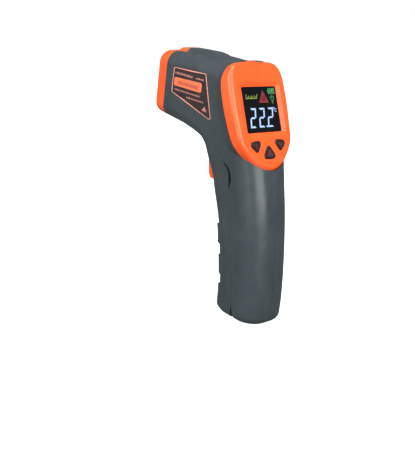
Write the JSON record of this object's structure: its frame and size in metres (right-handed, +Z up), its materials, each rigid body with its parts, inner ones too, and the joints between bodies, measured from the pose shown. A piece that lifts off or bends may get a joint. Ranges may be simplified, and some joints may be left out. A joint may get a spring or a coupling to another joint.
{
  "type": "infrared thermometer",
  "caption": "Pistol-shaped infrared thermometer with a tilted display face, three keys, a pull trigger, a nozzle with lens and laser, and a hinged battery door in the grip",
  "frame": {"origin": "centre of the lens opening on the muzzle's front plane", "axes": "+Y out of the muzzle along the lens axis, +Z up, +X to the user's right"},
  "size_m": [0.0444, 0.1069, 0.1483],
  "materials": {
    "grey_body": "satin blue-grey moulded ABS with fine grain",
    "orange_body": "satin orange moulded ABS",
    "key_rubber": "dark brown-black silicone with dull red marks",
    "clear_window": "clear hard-coated acrylic, dark behind",
    "lcd_glass": "dark negative display",
    "white_plastic": "white diffuser plastic",
    "black_plastic": "black moulded nylon",
    "strip_rubber": "striped conductive elastomer",
    "circuit_board": "green solder mask on glass epoxy",
    "chip_plastic": "black epoxy packages",
    "steel": "zinc-plated steel",
    "nickel": "nickel-plated spring steel",
    "brass": "turned brass",
    "black_aluminium": "black anodised aluminium",
    "seal_rubber": "black silicone",
    "lens_plastic": "milky infrared lens",
    "cell_wrap": "printed foil wrap on a steel can",
    "red_wire": "red insulated wire",
    "black_wire": "black insulated wire",
    "label_film": "printed polyester film"
  },
  "bodies": {
    "casing": {"backlight": "white_plastic", "battery_contacts": "nickel", "battery_left": "cell_wrap", "battery_right": "cell_wrap", "battery_springs": "nickel", "battery_tray": "black_plastic", "battery_wire_black": "black_wire", "battery_wire_red": "red_wire", "board_chips": "chip_plastic", "board_screws": "steel", "buzzer": "chip_plastic", "contact_strips": "strip_rubber", "display_bezel": "orange_body", "display_window": "clear_window", "door_pin": "steel", "housing_screws": "steel", "infrared_lens": "lens_plastic", "key_switches": "steel", "laser_board": "circuit_board", "laser_cap": "orange_body", "laser_holder": "black_plastic", "laser_module": "brass", "laser_screws": "steel", "laser_window": "clear_window", "laser_wires": "red_wire", "lcd_frame": "black_plastic", "lcd_panel": "lcd_glass", "left_housing": "grey_body", "left_label": "label_film", "lens_retainer": "black_aluminium", "lens_seal": "seal_rubber", "main_board": "circuit_board", "nozzle": "orange_body", "right_housing": "grey_body", "right_label": "label_film", "sensor_board": "circuit_board", "sensor_cable": "black_wire", "sensor_chip": "chip_plastic", "sensor_tube": "black_aluminium", "switch_bracket": "black_plastic", "thermopile": "nickel", "trigger_pin": "steel", "trigger_spring": "nickel", "trigger_switch": "chip_plastic"},
    "trigger_body": {"trigger": "orange_body"},
    "door_body": {"battery_door": "grey_body"},
    "left_key_body": {"left_key": "key_rubber"},
    "centre_key_body": {"centre_key": "key_rubber"},
    "right_key_body": {"right_key": "key_rubber"}
  },
  "joints": [
    {"name": "trigger_pull", "type": "hinge", "parent": "casing", "child": "trigger_body", "pos_m": [0, -0.05, -0.011], "axis": [-1, 0, 0], "range_deg": [0, 5], "stiffness_Nm_per_rad": 0.6, "springref_deg": -5.73, "deforming": ["trigger_spring"]},
    {"name": "door_open", "type": "hinge", "parent": "casing", "child": "door_body", "pos_m": [0, -0.0872, -0.1166], "axis": [-1, 0, 0], "range_deg": [0, 70]},
    {"name": "left_key_press", "type": "slide", "parent": "casing", "child": "left_key_body", "axis": [0, 0.9184, -0.3955], "range_m": [0, 0.0006], "stiffness_N_per_m": 400, "springref_m": -0.0006},
    {"name": "centre_key_press", "type": "slide", "parent": "casing", "child": "centre_key_body", "axis": [0, 0.9184, -0.3955], "range_m": [0, 0.0006], "stiffness_N_per_m": 400, "springref_m": -0.0006},
    {"name": "right_key_press", "type": "slide", "parent": "casing", "child": "right_key_body", "axis": [0, 0.9184, -0.3955], "range_m": [0, 0.0006], "stiffness_N_per_m": 400, "springref_m": -0.0006}
  ]
}
